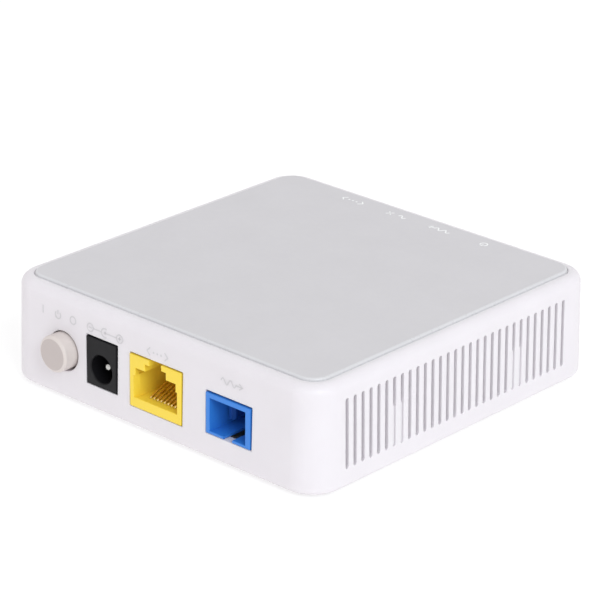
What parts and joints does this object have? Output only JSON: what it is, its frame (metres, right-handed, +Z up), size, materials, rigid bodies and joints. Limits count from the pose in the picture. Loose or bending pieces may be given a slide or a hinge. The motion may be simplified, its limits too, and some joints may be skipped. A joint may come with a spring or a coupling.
{
  "type": "optical network terminal",
  "caption": "Low square white box with a raised grey top panel, slotted side grilles, a round power button and DC, Ethernet and fibre ports in one wall.",
  "frame": {"origin": "on the standing surface, under the middle of the whole footprint, which runs from the power button's face to the far skirt", "axes": "+Z up; -Y the wall with the button and the ports; +Y the wall with the four indicator windows; +X and -X the slotted walls"},
  "size_m": [0.0902, 0.0932, 0.0252],
  "materials": {
    "shell_white": "fine satin ABS",
    "panel_grey": "fine matt, painted",
    "button_grey": "satin",
    "connector_black": "satin, slightly rough",
    "connector_yellow": "satin",
    "connector_blue": "satin",
    "natural_nylon": "satin",
    "terminal_plate": "matt phenolic board",
    "clear_guide": "polished clear polycarbonate",
    "led_body": "moulded epoxy",
    "foot_rubber": "matt",
    "label_paper": "blank, semi-matt film",
    "board_green": "solder mask over glass fibre",
    "chip_epoxy": "matt moulding compound",
    "capacitor_can": "drawn can",
    "aluminium_barrel": "turned",
    "steel": "zinc plated",
    "nickel_plate": "nickel plated, bright",
    "gold_plate": "gold plated",
    "zirconia": "polished zirconia"
  },
  "bodies": {
    "root": {"upper_shell": "shell_white", "top_panel": "panel_grey", "base_cover": "shell_white", "rating_label": "label_paper", "foot_1": "foot_rubber", "base_screw_1": "steel", "foot_2": "foot_rubber", "base_screw_2": "steel", "foot_3": "foot_rubber", "base_screw_3": "steel", "foot_4": "foot_rubber", "base_screw_4": "steel", "switch_housing": "connector_black", "switch_terminal_plate": "terminal_plate", "switch_spring": "steel", "dc_jack_housing": "connector_black", "dc_jack_pin": "nickel_plate", "dc_jack_spring_contact": "nickel_plate", "rj45_housing": "connector_yellow", "rj45_contact_1": "gold_plate", "rj45_contact_2": "gold_plate", "rj45_contact_3": "gold_plate", "rj45_contact_4": "gold_plate", "rj45_contact_5": "gold_plate", "rj45_contact_6": "gold_plate", "rj45_contact_7": "gold_plate", "rj45_contact_8": "gold_plate", "sc_receptacle": "connector_blue", "sc_latch_insert": "connector_blue", "fibre_sleeve": "zirconia", "optical_barrel": "aluminium_barrel", "laser_can": "gold_plate", "photodiode_can": "gold_plate", "main_board": "board_green", "board_screw_1": "steel", "board_screw_2": "steel", "board_screw_3": "steel", "board_screw_4": "steel", "indicator_led_1": "led_body", "indicator_led_2": "led_body", "indicator_led_3": "led_body", "indicator_led_4": "led_body", "system_chip": "chip_epoxy", "flash_chip": "chip_epoxy", "laser_driver_chip": "chip_epoxy", "ethernet_transformer": "chip_epoxy", "crystal": "steel", "power_inductor": "chip_epoxy", "capacitor_1": "capacitor_can", "capacitor_2": "capacitor_can", "light_guide": "clear_guide"},
    "button": {"power_button": "button_grey", "switch_plunger": "natural_nylon"},
    "latch_wire": {"switch_latch_wire": "steel"}
  },
  "joints": [
    {"name": "power_button_press", "type": "slide", "parent": "root", "child": "button", "axis": [0, 1, 0], "range_m": [0, 0.0025], "stiffness_N_per_m": 500, "springref_m": -0.001, "deforming": ["switch_spring"]},
    {"name": "latch_wire_swing", "type": "hinge", "parent": "root", "child": "latch_wire", "pos_m": [-0.02746, -0.0224, 0.00867], "axis": [0, 0, 1], "range_deg": [-1, 6]}
  ],
  "couplings": [
    {"joint": "latch_wire_swing", "follows": "power_button_press", "rad_per_m": 33.5}
  ]
}
